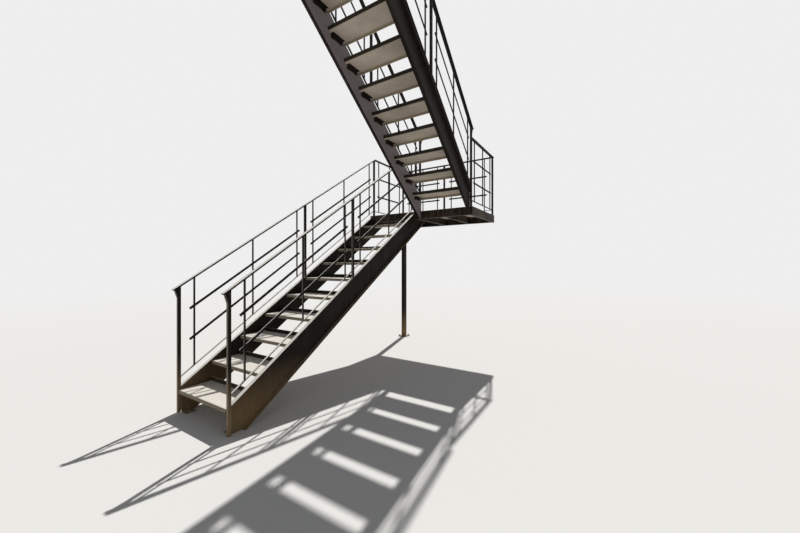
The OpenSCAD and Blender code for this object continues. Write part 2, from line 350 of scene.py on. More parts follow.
@dataclass
class Surface:
    """What the paints read of a surface: its place, its direction and the patterns that they share."""

    make: Nodes
    ground: float
    broad_scale: float = 2.3
    fine_scale: float = 38.0
    speck_scale: float = 140.0
    streak_scale: tuple[float, float, float] = (34.0, 34.0, 2.2)

    def __post_init__(self) -> None:
        """Makes the nodes."""
        make = self.make
        coords = make.node("ShaderNodeTexCoord").outputs
        place = coords["Object"]
        drawn_out = make.node("ShaderNodeMapping", vector=place, scale=self.streak_scale).outputs[0]
        self.at = make.split(place)
        self.facing = make.split(coords["Normal"])
        self.broad = make.noise(place, self.broad_scale, detail=4)
        self.fine = make.noise(place, self.fine_scale, detail=5)
        self.speck = make.noise(place, self.speck_scale, detail=3)
        self.streaks = make.noise(drawn_out, 1.0, detail=4)

    def above(self, low: float, high: float, start: float = 0.0, end: float = 1.0) -> Socket:
        """Maps the heights low..high above the ground to start..end."""
        return self.make.span(self.at["Z"], self.ground + low, self.ground + high, start, end)


@dataclass(frozen=True)
class Paint:
    """A worn paint over steel: pale tops, partly dust and partly painted sun highlight; brown near the
    ground, partly dirt and partly painted bounce light; painted light on faces turned to the front where it
    is set; and rust at marks.

    Colours are linear, and heights are above the ground. A span says where a pattern, a height or a
    face's direction begins to count and where it counts in full, and in some the shares at both ends.
    """

    slot: Slot
    colour: Colour
    bloom: Colour
    # Pale colour of faces that look up: partly dust, partly painted sun highlight.
    top: Colour
    bloom_streaks: float = 0.45
    bloom_patches: Span = (0.42, 0.66)
    # Painted light: faces turned to the front are lightened, as if lit from the front.
    front: Colour = (0.24, 0.205, 0.165)
    front_share: float = 0.0
    front_facing: Span = (-0.80, -0.95)
    front_heights: Span = (2.2, 1.1)
    front_patches: Span = (0.25, 0.60, 0.5, 1.0)
    # Brown towards the ground: partly dirt, partly painted bounce light from the floor.
    dirt_and_bounce_light: Colour = (0.28, 0.188, 0.094)
    dirt_and_bounce_light_share: float = 0.85
    dirt_and_bounce_light_heights: Span = (0.46, 0.02)
    dirt_and_bounce_light_streaks: float = 0.5
    dirt_and_bounce_light_patches: Span = (0.20, 0.50, 0.6, 1.0)
    rust: Colour = (0.105, 0.042, 0.018)
    rust_share: float = 0.30
    rust_marks: Span = (0.60, 0.70)
    rust_areas: Span = (0.46, 0.60)
    top_share: float = 0.92
    top_facing: Span = (0.62, 0.80)
    top_heights: Span = (0.10, 0.16, 0.12, 1.0)
    top_specks: float = 0.4
    top_patches: Span = (0.12, 0.40)
    rough_marks: Span = (0.25, 0.75)
    rough_top: float = 0.5
    rough: tuple[float, float] = (0.45, 0.77)
    gloss: tuple[float, float] = (0.07, 0.45)
    grain: float = 0.15
    grain_depth: float = 0.0006

    def build(self, ground: float) -> bpy.types.Material:
        """Makes the material.

        Args:
            ground: height of the ground in the row frame.

        Returns:
            The material.
        """
        material = bpy.data.materials.new(self.slot.value)
        make = Nodes(material)
        on = Surface(make, ground)
        # Pale tops, partly dust and partly painted sun highlight.
        top = self.dust_and_highlight_mask(on)
        rough = make.mixed_value(make.span(on.fine, *self.rough_marks), top, self.rough_top)
        bump = make.node("ShaderNodeBump", strength=self.grain, distance=self.grain_depth, height=on.speck)
        shader = make.node(
            "ShaderNodeBsdfPrincipled",
            base_color=make.mix(top, self.dirtied_and_lit(on), self.top_colour(on)),
            roughness=make.span(rough, 0.0, 1.0, *self.rough),
            specular_ior_level=self.gloss[0],
            normal=bump.outputs["Normal"])
        make.put(shader.inputs["Specular IOR Level"], make.span(top, 0.0, 1.0, *self.gloss))
        make.node("ShaderNodeOutputMaterial", surface=shader.outputs["BSDF"])
        return material

    def dust_and_highlight_mask(self, on: Surface) -> Socket:
        """Gives how much of the pale top colour covers a place: partly dust, partly painted sun highlight.

        Args:
            on: the surface.

        Returns:
            The share of dust.
        """
        make = on.make
        patches = make.span(make.mixed_value(on.fine, on.speck, self.top_specks), *self.top_patches)
        up = make.span(on.facing["Z"], *self.top_facing)
        return make.times(up, self.top_share, patches, on.above(*self.top_heights))

    def dirtied_and_lit(self, on: Surface) -> Socket:
        """Gives the paint's colour with painted light on faces turned to the front, brown near the ground
        that is partly dirt and partly painted bounce light, and rust, but without the pale tops.

        Args:
            on: the surface.

        Returns:
            The colour.
        """
        make = on.make
        colour = self.coat(on)
        # Painted light on faces turned to the front.
        if self.front_share:
            front = make.times(make.span(on.facing["Y"], *self.front_facing), on.above(*self.front_heights),
                               make.span(on.streaks, *self.front_patches), self.front_share)
            colour = make.mix(front, colour, self.front)
        # Brown towards the ground, partly dirt and partly painted bounce light.
        patches = make.span(make.mixed_value(on.fine, on.streaks, self.dirt_and_bounce_light_streaks), *self.dirt_and_bounce_light_patches)
        colour = make.mix(make.times(on.above(*self.dirt_and_bounce_light_heights), patches, self.dirt_and_bounce_light_share), colour, self.dirt_and_bounce_light)
        rust = make.times(make.span(on.fine, *self.rust_marks), make.span(on.broad, *self.rust_areas),
                          self.rust_share)
        return make.mix(rust, colour, self.rust)

    def coat(self, on: Surface) -> Socket:
        """Gives the paint's own colour, with its bloom in vertical streaks.

        Args:
            on: the surface.

        Returns:
            The colour.
        """
        patches = on.make.mixed_value(on.broad, on.streaks, self.bloom_streaks)
        return on.make.mix(on.make.span(patches, *self.bloom_patches), self.colour, self.bloom)

    def top_colour(self, on: Surface) -> Socket | Colour:
        """Gives the pale colour of faces that look up: partly dust, partly painted sun highlight."""
        return self.top


@dataclass(frozen=True)
class TreadPaint(Paint):
    """Paint with a lighter band on each front edge, partly worn by shoes and partly painted light, and a pale
    underside, partly a paler coat and partly painted bounce light from below.
    """

    first_rise: float = field(kw_only=True)
    rise: float = field(kw_only=True)
    edge: float = 0.034
    edge_blur: float = 0.02
    steps_below: int = 3
    steps_above: int = 37
    # Lighter front edges: partly wear by shoes, partly painted light on the nosings.
    worn_and_lit: Colour = (0.27, 0.228, 0.168)
    worn_and_lit_facing: Span = (0.15, 0.35)
    worn_and_lit_patches: Span = (0.25, 0.45, 0.75, 1.0)
    # Pale underside: partly a paler coat, partly painted bounce light from below.
    under: Colour = (0.46, 0.400, 0.335)
    under_facing: Span = (-0.60, -0.85)
    under_patches: Span = (0.25, 0.60, 0.55, 1.0)

    def coat(self, on: Surface) -> Socket:
        """Gives the paint's own colour, with a lighter band on each front edge, partly wear and partly
        painted light, and a pale underside, partly painted bounce light.

        The height in steps is counted from below the lowest tread, so that its fraction is never negative.

        Args:
            on: the surface.

        Returns:
            The colour.
        """
        make = on.make
        # Pale underside, partly painted bounce light from below.
        down = make.times(make.span(on.facing["Z"], *self.under_facing),
                          make.span(on.broad, *self.under_patches))
        pale_underside = make.mix(down, super().coat(on), self.under)
        steps = on.above(self.first_rise - self.steps_below * self.rise,
                         self.first_rise + self.steps_above * self.rise,
                         0.0, self.steps_below + self.steps_above)
        # Lighter band on each front edge: partly wear, partly painted light.
        start = 1 - self.edge / self.rise
        band = make.span(make.math("FRACT", steps), start - self.edge_blur, start)
        front = make.span(make.times(on.facing["Y"], on.facing["Y"]), *self.worn_and_lit_facing)
        worn_and_lit = make.times(band, make.span(on.broad, *self.worn_and_lit_patches), front)
        return make.mix(worn_and_lit, pale_underside, self.worn_and_lit)


@dataclass(frozen=True)
class StringerPaint(Paint):
    """Paint of a sloping channel: brown dirt on its lower flange, and a painted sky reflection on the web's
    inner face.
    """

    nosing: Vector = field(kw_only=True)
    slope: float = field(kw_only=True)
    dirt: Colour = (0.175, 0.128, 0.080)
    dirt_depths: Span = (0.08, 0.10)
    # Painted sky reflection on the web's inner face.
    sky_reflection: Colour = (0.215, 0.188, 0.188)
    sky_reflection_share: float = 0.0
    sky_reflection_facing: Span = (-0.15, -0.30)

    def coat(self, on: Surface) -> Socket:
        """Gives the paint's own colour, with a painted sky reflection on faces turned to the flight's middle.

        Args:
            on: the surface.

        Returns:
            The colour.
        """
        make = on.make
        paint = super().coat(on)
        if not self.sky_reflection_share:
            return paint
        # Painted sky reflection on faces turned to the flight's middle.
        outward = make.times(make.math("SUBTRACT", on.at["X"], self.nosing.x), on.facing["X"])
        return make.mix(make.times(make.span(outward, *self.sky_reflection_facing), self.sky_reflection_share), paint, self.sky_reflection)

    def top_colour(self, on: Surface) -> Socket:
        """Gives the pale top colour, partly dust and partly painted sun highlight, near the line through the
        nosings, and brown dirt well below it, where no highlight is painted.

        Args:
            on: the surface.

        Returns:
            The colour.
        """
        # Pale tops near the nosing line: partly dust, partly painted sun highlight.
        line = self.nosing.z - self.slope * self.nosing.y
        level = on.make.math("MULTIPLY_ADD", on.at["Y"], -self.slope, on.at["Z"])
        below = on.make.span(level, *(line - depth for depth in self.dirt_depths))
        return on.make.mix(below, self.top, self.dirt)


def square_to(slope: float) -> Vector:
    """Gives the upward direction square to a slope, in the plane x = 0."""
    return Vector((0, -slope, 1)).normalized()


@dataclass(frozen=True)
class Bar:
    """A steel bar's section: its size across a railing's plane, its size in it, and its eased edge."""

    wide: float
    high: float
    ease: float

    def cut(self, length: float) -> Piece:
        """Models a bar along +Y from the origin, its width along X.

        Args:
            length: its length.

        Returns:
            The bar.
        """
        Bench.clear()
        bpy.ops.mesh.primitive_plane_add(size=1, rotation=(QUARTER, 0, 0))
        bar = bpy.context.object
        bar.scale = (self.wide, self.high, 1)
        Bench.settle(bar)
        Bench.edit(bar)
        bpy.ops.mesh.bevel(offset=self.ease, segments=3, affect="VERTICES")
        bpy.ops.mesh.select_all(action="SELECT")
        bpy.ops.mesh.extrude_region_move(TRANSFORM_OT_translate={"value": (0, length, 0)})
        Bench.close()
        return bar

    def laid(self, start: float, end: float, height: float, slope: float = 0.0) -> Piece:
        """Models a bar that follows a line in the plane x = 0.

        Args:
            start: where on Y it starts.
            end: where on Y it ends.
            height: its height above the line through the origin.
            slope: the line's rise over run.

        Returns:
            The bar.
        """
        bar = self.cut((end - start) * math.hypot(1, slope))
        bar.data.transform(Matrix.Translation((0, start, start * slope + height))
                           @ Matrix.Rotation(math.atan(slope), 4, "X"))
        return bar

    def upright(self, low: float, high: float) -> Piece:
        """Models a bar along Z, from one height to another."""
        bar = self.cut(high - low)
        bar.data.transform(Matrix.Translation((0, 0, low)) @ Matrix.Rotation(QUARTER, 4, "X"))
        return bar


@dataclass(frozen=True)
class Rails:
    """Heights of a railing's rails above the nosing line or the floor."""

    bottom: float
    mids: tuple[float, float]
    top: float


@dataclass(frozen=True)
class RailStock:
    """The steel bars that the railings are cut from, and how the thin ones stand between posts."""

    post: Bar = Bar(0.0254, 0.0254, 0.0028)
    cap: Bar = Bar(0.040, 0.014, 0.0025)
    mid: Bar = Bar(0.0072, 0.022, 0.0009)
    foot: Bar = Bar(0.019, 0.0072, 0.0009)
    thin: Bar = Bar(0.0127, 0.0127, 0.0009)
    bar_off: float = 0.125
    free_end: float = 0.038

    @property
    def half_post(self) -> float:
        """Distance of a post's face from its centre."""
        return self.post.wide / 2

    def thin_places(self, start: float, end: float) -> tuple[float, float, float]:
        """Gives the thin bars' places between the centres of two posts."""
        return start + self.bar_off, (start + end) / 2, end - self.bar_off

    def bay(self, start: float, end: float, rails: Rails, slope: float = 0.0, foot_in: float = 0.0) -> Piece:
        """Models the mid rails, bottom rail and thin bars between two posts, in the plane x = 0.

        Args:
            start: where on Y the first post's centre is.
            end: where on Y the second post's centre is.
            rails: the rails' heights.
            slope: rise over run.
            foot_in: how far the bottom rail stays off both centres.

        Returns:
            The bay.
        """
        places = self.thin_places(start, end)
        made = [self.mid.laid(places[0] - self.free_end, places[2] + self.free_end, height, slope)
                for height in rails.mids]
        made.append(self.foot.laid(start + foot_in, end - foot_in, rails.bottom, slope))
        thin = self.thin.upright(rails.bottom - self.thin.high, rails.top + self.thin.high)
        Bench.trim(thin, Vector((0, 0, rails.top)), square_to(slope))
        Bench.trim(thin, Vector((0, 0, rails.bottom)), -square_to(slope))
        made += Bench.copies(thin, [Matrix.Translation((0, y, y * slope)) for y in places])
        Bench.drop(thin)
        return Bench.join(made, "bay")


@dataclass
class Flight:
    """One flight's frame and sizes in metres, climbing from its first nosing.

    The heading is 1 where it climbs along +Y and -1 where it climbs along -Y.
    """

    nosing: Vector
    heading: int
    rise: float
    run: float
    treads: int
    first_post: float
    first_base: float
    last_base: float | None = None
    half_w: float = 0.356
    rail_out: float = 0.021
    stringer_up: float = 0.011
    bay_steps: int = 5
    rails: Rails = Rails(0.088, (0.346, 0.616), 0.873)

    @property
    def slope(self) -> float:
        """Rise over run."""
        return self.rise / self.run

    @property
    def rail_x(self) -> float:
        """Distance of a railing's plane from the flight's centre."""
        return self.half_w + self.rail_out

    def at(self, side: int, x: float, y: float, z: float) -> Vector:
        """Turns a place in the flight's own frame into the row frame.

        Args:
            side: 1 for the right side, -1 for the left.
            x: distance from the flight's centre.
            y: distance climbed in plan from the first nosing.
            z: height above the first nosing.

        Returns:
            The place in the row frame.
        """
        return self.nosing + Vector((side * x, self.heading * y, z))

    def post_places(self) -> list[float]:
        """Lists the posts' distances from the first nosing."""
        return [self.first_post + i * self.bay_steps * self.run for i in range(3)]


@dataclass
class Plan:
    """The stair's layout in metres, from the ground below the first nosing."""

    origin: Vector
    stair_w: float = 0.712
    flange: float = 0.038
    flight_gap: float = 0.068
    rail_in: float = 0.022
    margin: float = 0.005
    first_rise: float = 0.200
    steps: int = 10
    rise: float = 0.1825
    lower_run: float = 0.2794
    upper_run: float = 0.2286
    lower_foot: float = 0.025
    landing_lap: float = 0.058
    landing_depth: float = 0.964
    floor_t: float = 0.006
    frame_d: float = 0.1016
    frame_flange: float = 0.040
    frame_web: float = 0.005
    post_w: float = 0.0635
    post_inset: float = 0.025
    base_t: float = 0.010

    def __post_init__(self) -> None:
        """Works out the landing's edges and the two flights."""
        self.landing_top = self.first_rise + self.steps * self.rise
        self.landing_under = self.landing_top - self.floor_t - self.frame_d
        self.front = self.steps * self.lower_run - self.landing_lap
        self.rear = self.front + self.landing_depth
        self.left = -self.stair_w / 2 - self.flange
        self.upper_x = self.stair_w + 2 * self.flange + self.flight_gap
        self.right = self.upper_x + self.stair_w / 2 + self.flange + self.margin
        half_post = RailStock().half_post
        self.lower = Flight(self.at(0, 0, self.first_rise), 1, self.rise, self.lower_run, self.steps,
                            self.lower_foot - half_post, -self.first_rise, self.landing_top - self.first_rise)
        self.upper = Flight(self.at(self.upper_x, self.front, self.landing_top + self.rise), -1, self.rise,
                            self.upper_run, self.steps, -half_post, -self.rise)

    def at(self, x: float, y: float, z: float) -> Vector:
        """Turns a place on the plan into the row frame."""
        return self.origin + Vector((x, y, z))

    @property
    def post_centre(self) -> tuple[float, float]:
        """Centre of the support post on the plan."""
        inset = self.post_inset + self.post_w / 2
        return self.left + inset, self.rear - inset


@dataclass
class Palette:
    """The stair's finishes, one for each slot."""

    plan: Plan
    dark: Colour = (0.0110, 0.0082, 0.0064)
    bloom: Colour = (0.025, 0.0195, 0.0175)
    # Pale tops: partly dust, partly painted sun highlight.
    pale: Colour = (0.84, 0.815, 0.77)
    made: dict[Slot, bpy.types.Material] = field(default_factory=dict)

    def build(self) -> None:
        """Makes the materials."""
        plan = self.plan
        usual = (self.dark, self.bloom, self.pale)
        # Tops are partly painted sun highlight, colours near the ground partly painted bounce light, the
        # rails' front colour painted light, and the upper stringers' inner faces a painted sky reflection.
        paints = [
            Paint(Slot.FRAME, *usual),
            Paint(Slot.LANDING, colour=(0.014, 0.011, 0.009), bloom=(0.095, 0.068, 0.046), top=self.pale),
            Paint(Slot.RAIL, colour=(0.0110, 0.0090, 0.0078), bloom=(0.018, 0.015, 0.013),
                  top=(0.87, 0.85, 0.81), dirt_and_bounce_light=(0.34, 0.240, 0.135), dirt_and_bounce_light_heights=(0.5, 0.02),
                  front_share=0.85),
            TreadPaint(Slot.TREAD, colour=(0.022, 0.018, 0.015), bloom=(0.044, 0.036, 0.029),
                       top=(0.68, 0.645, 0.595), top_share=0.96, dirt_and_bounce_light_share=0.3,
                       first_rise=plan.first_rise, rise=plan.rise),
            Paint(Slot.ZINC, colour=(0.050, 0.042, 0.034), bloom=(0.10, 0.088, 0.074),
                  top=(0.16, 0.14, 0.12), rust_share=0.8, rough=(0.40, 0.72)),
        ]
        for slot, flight, sky_reflection_share in ((Slot.LOWER, plan.lower, 0.0), (Slot.UPPER, plan.upper, 0.9)):
            paints.append(StringerPaint(slot, *usual, nosing=flight.nosing,
                                        slope=flight.heading * flight.slope, sky_reflection_share=sky_reflection_share))
        for paint in paints:
            self.made[paint.slot] = paint.build(plan.origin.z)

    def dress(self, obj: Piece, slot: Slot) -> None:
        """Gives an object one finish."""
        obj.data.materials.clear()
        obj.data.materials.append(self.made[slot])

    def add(self, obj: Piece, slot: Slot) -> None:
        """Dresses a new piece and enters it in the table.

        Args:
            obj: the piece.
            slot: its finish.
        """
        self.dress(obj, slot)
        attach(obj, "root")
        log.info("%s: %d faces", obj.name, len(obj.data.polygons))


@dataclass
class RailLine:
    """A railing's plane, in which the joints of its bars are found.

    A place is given by its distance along the plan, its shift across the plane and its height above
    the line that starts at the origin and climbs with the railing.
    """

    origin: Vector
    along: Vector
    aside: Vector
    stock: RailStock

    def __post_init__(self) -> None:
        """Works out the plumb height of a unit thickness laid along the line."""
        self.slant = math.hypot(1, self.along.z)

    def at(self, x: float, shift: float, height: float) -> Vector:
        """Turns a place on the line into the row frame."""
        return self.origin + self.along * x + self.aside * shift + Vector((0, 0, height))

    def across(self, x: float, height: float, size: float) -> Run:
        """Gives a joint of a given length across the plane."""
        return self.at(x, -size / 2, height), self.at(x, size / 2, height)

    def under(self, rails: Rails) -> float:
        """Gives the height of the cap's underside."""
        return rails.top - self.stock.cap.high / 2 * self.slant

    def post(self, x: float, heights: Span) -> list[Run]:
        """Gives the joints across a post's two faces at some heights."""
        half = self.stock.half_post
        return [self.across(x + d * half, height, 2 * half) for d in SIDES for height in heights]

    def bay(self, start: float, end: float, rails: Rails) -> list[Run]:
        """Lists the joints of one bay's rails and thin bars.

        Args:
            start: centre of the first post.
            end: centre of the second post.
            rails: the rails' heights.

        Returns:
            The joints.
        """
        stock = self.stock
        foot_top = rails.bottom + stock.foot.high / 2 * self.slant
        foot_under = rails.bottom - stock.foot.high / 2 * self.slant
        mids = [height + d * stock.mid.high / 2 * self.slant for height in rails.mids for d in SIDES]
        faces = (start + stock.half_post, end - stock.half_post)
        made = [self.across(x, height, stock.foot.wide) for x in faces for height in (foot_under, foot_top)]
        for edge in [x + d * stock.thin.wide / 2 for x in stock.thin_places(start, end) for d in SIDES]:
            made += [self.across(edge, height, stock.thin.wide) for height in (self.under(rails), foot_top)]
            made += [self.across(edge, height, stock.mid.wide) for height in mids]
        return made


@dataclass
class FlightRailing:
    """A flight's railing, modelled in the plane x = 0 with y climbing and z above the first nosing."""

    flight: Flight
    stock: RailStock
    overrun: float = 0.044
    gusset_h: float = 0.100
    gusset_t: float = 0.0236
    gusset_tip: float = 0.007
    slack: float = 1e-4
    seam_x: float = 0.361
    seam_h: float = 0.180

    def post(self, y: float, base: float | None) -> Piece:
        """Models one post, cut to the slope where it has no level base.

        Args:
            y: place of its centre.
            base: height of its base above the first nosing, or None on the stringer.

        Returns:
            The post.
        """
        flight = self.flight
        bar = self.stock.post
        line = y * flight.slope
        top = line + flight.rails.top
        post = bar.upright(line - bar.wide if base is None else base, top + bar.wide)
        post.data.transform(Matrix.Translation((0, y, 0)))
        Bench.trim(post, Vector((0, y, top)), square_to(flight.slope))
        if base is None:
            Bench.trim(post, Vector((0, y, line + flight.stringer_up)), -square_to(flight.slope))
        return post

    def gusset(self, y: float) -> Piece:
        """Models the gusset under the top rail's lower end.

        Its sloping edge is one side of a square that stands on its corner. That edge is drawn to the
        gusset's inner upper corner, and the triangle gets its thickness.

        Args:
            y: place of the first post's centre.

        Returns:
            The gusset.
        """
        flight = self.flight
        tip = y - self.overrun + self.gusset_tip
        root = y - self.stock.half_post
        high = tip * flight.slope + flight.rails.top
        low = y * flight.slope + flight.rails.top - self.gusset_h
        face = -self.gusset_t / 2
        Bench.clear()
        bpy.ops.mesh.primitive_circle_add(vertices=4, radius=1, rotation=(0, QUARTER, 0))
        piece = Bench.settle(bpy.context.object)
        Bench.edit(piece, lambda place: min(place.y, place.z) < -self.slack)
        bpy.ops.mesh.delete(type="VERT")
        Bench.done()
        piece.data.transform(Matrix.Translation((face, tip, low))
                             @ Matrix.Diagonal((1, root - tip, high - low, 1)))
        Bench.edit(piece)
        bpy.ops.mesh.extrude_region_move()
        bpy.ops.transform.resize(value=(0, 0, 0), center_override=(face, y, high))
        bpy.ops.mesh.select_all(action="SELECT")
        bpy.ops.mesh.remove_doubles(threshold=self.slack)
        bpy.ops.mesh.extrude_region_move(TRANSFORM_OT_translate={"value": (self.gusset_t, 0, 0)})
        Bench.close()
        return piece

    def build(self) -> Piece:
        """Models the whole railing.

        Returns:
            The railing, to be copied to both sides.
        """
        flight = self.flight
        stock = self.stock
        places = flight.post_places()
        made = [self.post(y, base) for y, base in zip(places, (flight.first_base, None, flight.last_base))]
        end = places[-1] + stock.half_post
        cap = stock.cap.laid(places[0] - self.overrun, end + stock.cap.wide, flight.rails.top, flight.slope)
        Bench.trim(cap, Vector((0, end, 0)), Vector((0, 1, 0)))
        bay = stock.bay(places[0], places[1], flight.rails, flight.slope)
        made += [cap, self.gusset(places[0]), bay]
        step = places[1] - places[0]
        made += Bench.copies(bay, [Matrix.Translation((0, step, step * flight.slope))])
        return Bench.join(made, "railing")

    def place(self, side: int, master: Piece, name: str) -> Piece:
        """Copies the railing to one side of its flight.

        Args:
            side: 1 for the side at higher x of a flight that climbs along +Y, -1 for the other.
            master: the railing.
            name: name of the piece.

        Returns:
            The piece.
        """
        flight = self.flight
        turn = Matrix.Rotation(0.0 if flight.heading > 0 else math.pi, 4, "Z")
        shift = Matrix.Translation(flight.at(side, flight.rail_x, 0, 0))
        return Bench.join(Bench.copies(master, [shift @ turn]), name)

    def lines(self) -> list[RailLine]:
        """Gives the planes of the left and right railing.

        Returns:
            The planes.
        """
        flight = self.flight
        climb = Vector((0, flight.heading, flight.slope))
        return [RailLine(flight.at(side, flight.rail_x, 0, 0), climb, Vector((side, 0, 0)), self.stock)
                for side in SIDES]

    def post_runs(self) -> list[Run]:
        """Lists the posts' joints: under the cap, round the middle post and down the first post's back.

        Returns:
            The joints.
        """
        flight = self.flight
        half = self.stock.half_post
        places = flight.post_places()
        back = places[0] + half
        shift = self.seam_x - flight.rail_x
        foot = -self.seam_h - back * flight.slope
        runs = []
        for line in self.lines():
            for x in places:
                runs += line.post(x, (line.under(flight.rails),))
            ring = [line.at(places[1] + dy * half, dx * half, flight.stringer_up)
                    for dx, dy in RING]
            runs += [(ring[i - 1], ring[i]) for i in (1, 2, 3, 0)]
            runs.append((line.at(back, shift, foot), line.at(back, shift, flight.stringer_up)))
        return runs

    def rail_runs(self) -> list[Run]:
        """Lists the joints of the rails and thin bars.

        Returns:
            The joints.
        """
        places = self.flight.post_places()
        runs = []
        for line in self.lines():
            for start, end in zip(places, places[1:]):
                runs += line.bay(start, end, self.flight.rails)
        return runs


@dataclass
class LandingRailing:
    """The landing's three railings, each modelled in the plane x = 0 above the floor."""

    plan: Plan
    stock: RailStock
    mids: tuple[float, float] = (0.325, 0.610)
    bottom: float = 0.080

    def __post_init__(self) -> None:
        """Works out the railings' lines from the flights' posts."""
        plan = self.plan
        lower = plan.lower
        last = lower.post_places()[-1]
        self.half = self.stock.half_post
        top = plan.first_rise + (last + self.half) * lower.slope + lower.rails.top - plan.landing_top
        self.rails = Rails(self.bottom, self.mids, top)
        self.rear_y = plan.rear - plan.rail_in
        self.left_start = last + self.half
        self.right_start = plan.front - plan.upper.post_places()[0] + self.half
        self.left_x = -lower.rail_x
        self.right_x = plan.upper_x + plan.upper.rail_x

    def side(self, x: float, start: float, name: str) -> Piece:
        """Models a side railing, from a flight's post to the rear railing.

        Args:
            x: the railing's plane on the plan.
            start: face of the flight's post.
            name: name of the piece.

        Returns:
            The piece.
        """
        cap = self.stock.cap
        end = self.rear_y - start
        bay = self.stock.bay(-self.half, end, self.rails, foot_in=self.half)
        piece = Bench.join([bay, cap.laid(0, end - cap.wide / 2, self.rails.top)], name)
        piece.data.transform(Matrix.Translation(self.plan.at(x, start, self.plan.landing_top)))
        return piece

    def rear(self, name: str) -> Piece:
        """Models the rear railing with its corner posts and middle post.

        Args:
            name: name of the piece.

        Returns:
            The piece.
        """
        stock = self.stock
        length = self.right_x - self.left_x
        places = (0, length / 2, length)
        made = [stock.cap.laid(-stock.cap.wide / 2, length + stock.cap.wide / 2, self.rails.top)]
        post = stock.post.upright(0, self.rails.top)
        made += Bench.copies(post, [Matrix.Translation((0, y, 0)) for y in places])
        Bench.drop(post)
        made += [stock.bay(start, end, self.rails, foot_in=self.half)
                 for start, end in zip(places, places[1:])]
        piece = Bench.join(made, name)
        corner = self.plan.at(self.left_x, self.rear_y, self.plan.landing_top)
        piece.data.transform(Matrix.Translation(corner) @ Matrix.Rotation(-QUARTER, 4, "Z"))
        return piece

    def line(self, x: float, y: float, along: Vector) -> RailLine:
        """Gives the plane of one railing, from the place on the plan where it starts."""
        start = self.plan.at(x, y, self.plan.landing_top)
        return RailLine(start, along, Vector((along.y, along.x, 0)), self.stock)

    def runs(self) -> list[Run]:
        """Lists the welded joints.

        Returns:
            The joints.
        """
        half = self.half
        made = []
        for x, start in ((self.left_x, self.left_start), (self.right_x, self.right_start)):
            made += self.line(x, start, Vector((0, 1, 0))).bay(-half, self.rear_y - start, self.rails)
        rear = self.line(self.left_x, self.rear_y, Vector((1, 0, 0)))
        middle = (self.right_x - self.left_x) / 2
        for x in (0, middle):
            made += rear.bay(x, x + middle, self.rails)
        for x in (0, middle, 2 * middle):
            made += rear.post(x, (0.0, rear.under(self.rails)))
            made += [(rear.at(x - half, d * half, 0), rear.at(x + half, d * half, 0)) for d in SIDES]
        return made


@dataclass
class WeldBeads:
    """Rippled weld beads along straight joints, modelled by the ripple and copied.

    A ripple swells from the valley to the crest, and the bead narrows at both tips.
    """

    radius: float
    pitch: float = 0.0042
    sides: int = 8
    valley: float = 0.84
    swell: float = 1.19
    crest_at: float = 0.6
    tip: float = 0.62
    jitter: float = 0.07
    merge_within: float = 0.02
    end_within: float = 0.1
    masters: dict[int, Piece] = field(default_factory=dict)

    def ripple_row(self, count: int) -> Piece:
        """Models a bead along +X that starts at the origin.

        Args:
            count: number of ripples.

        Returns:
            The bead, to be copied.
        """
        if count in self.masters:
            return self.masters[count]
        Bench.clear()
        bpy.ops.mesh.primitive_cylinder_add(
            vertices=self.sides, radius=self.radius * self.valley, depth=self.pitch, end_fill_type="NOTHING",
            location=(self.pitch / 2, 0, 0), rotation=(0, QUARTER, 0))
        bead = Bench.settle(bpy.context.object)
        bead.name = f"bead_{count}"
        crest = self.pitch * self.crest_at
        Bench.edit(bead)
        bpy.ops.mesh.bisect(plane_co=(crest, 0, 0), plane_no=(1, 0, 0))
        bpy.ops.transform.resize(value=(1, self.swell, self.swell), center_override=(crest, 0, 0))
        Bench.done()
        row = bead.modifiers.new("row", "ARRAY")
        row.count = count
        row.use_relative_offset = False
        row.use_constant_offset = True
        row.constant_offset_displace = (self.pitch, 0, 0)
        row.use_merge_vertices = True
        row.merge_threshold = self.pitch * self.merge_within
        bpy.ops.object.modifier_apply(modifier="row")
        for end in (0.0, count * self.pitch):
            Bench.edit(bead, lambda place, end=end: abs(place.x - end) < self.pitch * self.end_within)
            bpy.ops.transform.resize(value=(1, self.tip, self.tip), center_override=(end, 0, 0))
            bpy.ops.mesh.edge_face_add()
            Bench.done()
        Bench.edit(bead)
        bpy.ops.mesh.normals_make_consistent(inside=False)
        bpy.ops.transform.vertex_random(offset=self.radius * self.jitter, seed=count)
        Bench.done()
        bpy.ops.object.shade_smooth()
        self.masters[count] = bead
        return bead

    def place(self, run: Run) -> Piece:
        """Copies a bead onto one joint.

        Args:
            run: the joint's two ends.

        Returns:
            The bead's object.
        """
        start, end = run
        along = end - start
        count = max(2, round(along.length / self.pitch))
        turn = along.to_track_quat("X", "Z").to_matrix().to_4x4()
        stretch = Matrix.Scale(along.length / (count * self.pitch), 4, Vector((1, 0, 0)))
        return Bench.copies(self.ripple_row(count), [Matrix.Translation(start) @ turn @ stretch])[0]

    def build(self, runs: list[Run], name: str) -> Piece:
        """Models the beads along all the joints of one sub-assembly.

        Args:
            runs: the joints.
            name: name of the joined piece.

        Returns:
            The joined piece.
        """
        piece = Bench.join([self.place(run) for run in runs], name)
        for master in self.masters.values():
            Bench.drop(master)
        self.masters.clear()
        return piece


